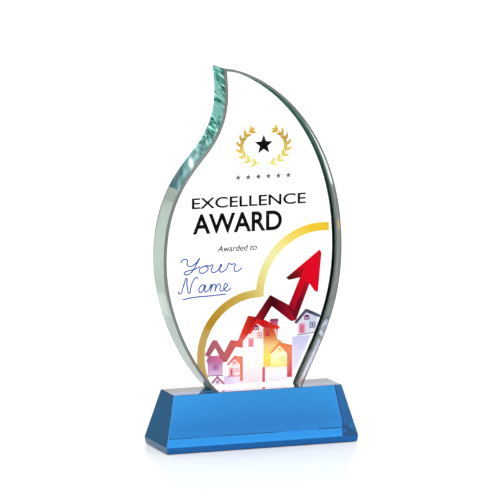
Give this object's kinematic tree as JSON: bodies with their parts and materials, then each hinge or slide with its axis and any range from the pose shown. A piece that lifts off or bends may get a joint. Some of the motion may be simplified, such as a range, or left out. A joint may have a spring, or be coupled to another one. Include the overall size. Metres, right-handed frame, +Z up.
{
  "type": "crystal award",
  "caption": "Flame-shaped clear crystal plate, bevelled and chip-edged, bonded upright on a tapered blue crystal base, with artwork printed on its back face.",
  "frame": {"origin": "middle of the base's underside", "axes": "+Z up, +X to the right seen from the front, the printed artwork reads from -Y"},
  "size_m": [0.107, 0.0356, 0.1995],
  "materials": {
    "clear_crystal": "polished clear lead-free crystal, 3/4 in plate with flat polished and chipped edges",
    "blue_crystal": "polished azure blue crystal",
    "clear_bond": "clear UV-cured adhesive film",
    "gold_ink": "gold gradient UV print",
    "black_ink": "black UV print",
    "grey_ink": "grey UV print",
    "blue_ink": "blue UV print",
    "red_ink": "red UV print",
    "pale_ink": "pale pink-white UV print",
    "lilac_ink": "lilac UV print",
    "pink_ink": "pink UV print",
    "plum_ink": "plum UV print",
    "yellow_ink": "yellow UV print",
    "orange_ink": "orange UV print"
  },
  "bodies": {
    "root": {"base_block": "blue_crystal", "bond_film": "clear_bond", "award_plate": "clear_crystal", "gold_arch": "gold_ink", "rising_arrow": "red_ink", "right_tower": "lilac_ink", "tower_wall": "pale_ink", "tower_roof": "red_ink", "tower_side": "yellow_ink", "chimney": "pink_ink", "middle_wall": "pale_ink", "middle_roof": "orange_ink", "low_wall": "lilac_ink", "right_wall": "pale_ink", "right_roof": "plum_ink", "pink_wall": "pale_ink", "pink_roof": "pink_ink", "pink_base": "lilac_ink", "plum_wall": "lilac_ink", "plum_roof": "pink_ink", "gable_wall": "pale_ink", "gable_roof": "plum_ink", "wreath_left": "gold_ink", "wreath_right": "gold_ink", "emblem_star": "black_ink", "heading_line": "black_ink", "title_line": "black_ink", "caption_line": "black_ink", "name_line_upper": "blue_ink", "name_line_lower": "blue_ink", "small_star_1": "grey_ink", "small_star_2": "grey_ink", "small_star_3": "grey_ink", "small_star_4": "grey_ink", "small_star_5": "grey_ink", "small_star_6": "grey_ink"}
  },
  "joints": []
}
